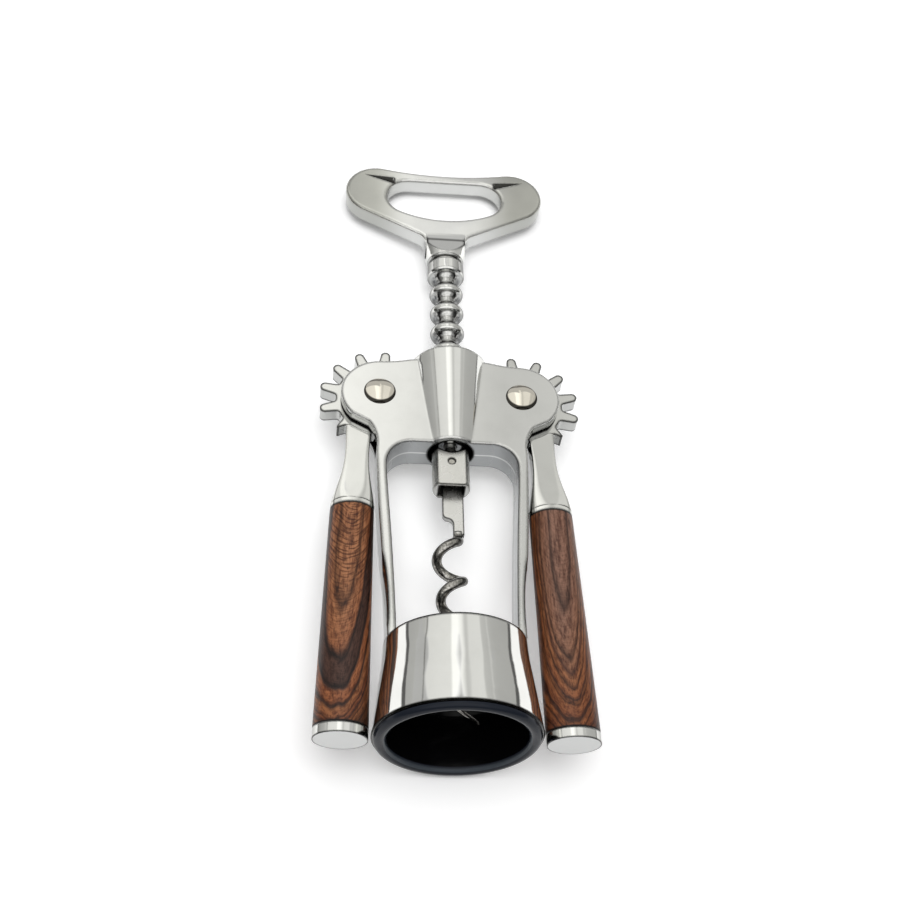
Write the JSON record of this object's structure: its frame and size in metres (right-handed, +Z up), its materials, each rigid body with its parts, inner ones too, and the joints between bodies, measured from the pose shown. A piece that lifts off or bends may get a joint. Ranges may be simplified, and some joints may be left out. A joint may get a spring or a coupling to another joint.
{
  "type": "wing corkscrew",
  "caption": "Wing corkscrew with a rack driven by two geared levers, wooden grips, an open worm, a lined bell and a bottle opener handle.",
  "frame": {"origin": "on the ground, under the middle of the bounding box of the tool lying on its back", "axes": "+Z up, the front of the tool facing up; +Y along the tool from the bell to the handle; +X to the right lever as seen from the front"},
  "size_m": [0.0706, 0.1898, 0.0407],
  "materials": {
    "polished_chrome": "polished",
    "nickel_steel": "satin",
    "black_plastic": "gloss",
    "rosewood": "satin varnish"
  },
  "bodies": {
    "frame": {"frame_casting": "polished_chrome", "bell_liner": "black_plastic", "pivot_rivets": "nickel_steel"},
    "rack": {"rack_sleeve": "polished_chrome"},
    "spindle": {"spindle_rod": "nickel_steel", "thrust_washer": "nickel_steel", "handle_head": "polished_chrome", "worm_carrier": "nickel_steel", "carrier_pin": "nickel_steel", "worm": "nickel_steel"},
    "left_arm": {"left_lever": "polished_chrome", "left_grip": "rosewood", "left_end_cap": "polished_chrome", "left_tie_rod": "nickel_steel"},
    "right_arm": {"right_lever": "polished_chrome", "right_grip": "rosewood", "right_end_cap": "polished_chrome", "right_tie_rod": "nickel_steel"}
  },
  "joints": [
    {"name": "rack_slide", "type": "slide", "parent": "frame", "child": "rack", "axis": [0, -0.9961, 0.0882], "range_m": [0, 0.0324]},
    {"name": "spindle_turn", "type": "hinge", "parent": "rack", "child": "spindle", "pos_m": [0, 0.03726, 0.00897], "axis": [0, 0.9961, -0.0882], "continuous": true},
    {"name": "left_arm_hinge", "type": "hinge", "parent": "frame", "child": "left_arm", "pos_m": [-0.0193, 0.00539, 0.01179], "axis": [0, -0.0882, -0.9961], "range_deg": [0, 121.35]},
    {"name": "right_arm_hinge", "type": "hinge", "parent": "frame", "child": "right_arm", "pos_m": [0.0193, 0.00539, 0.01179], "axis": [0, 0.0882, 0.9961], "range_deg": [0, 121.35]}
  ],
  "couplings": [
    {"joint": "left_arm_hinge", "follows": "rack_slide", "rad_per_m": 65.314},
    {"joint": "right_arm_hinge", "follows": "rack_slide", "rad_per_m": 65.314}
  ]
}
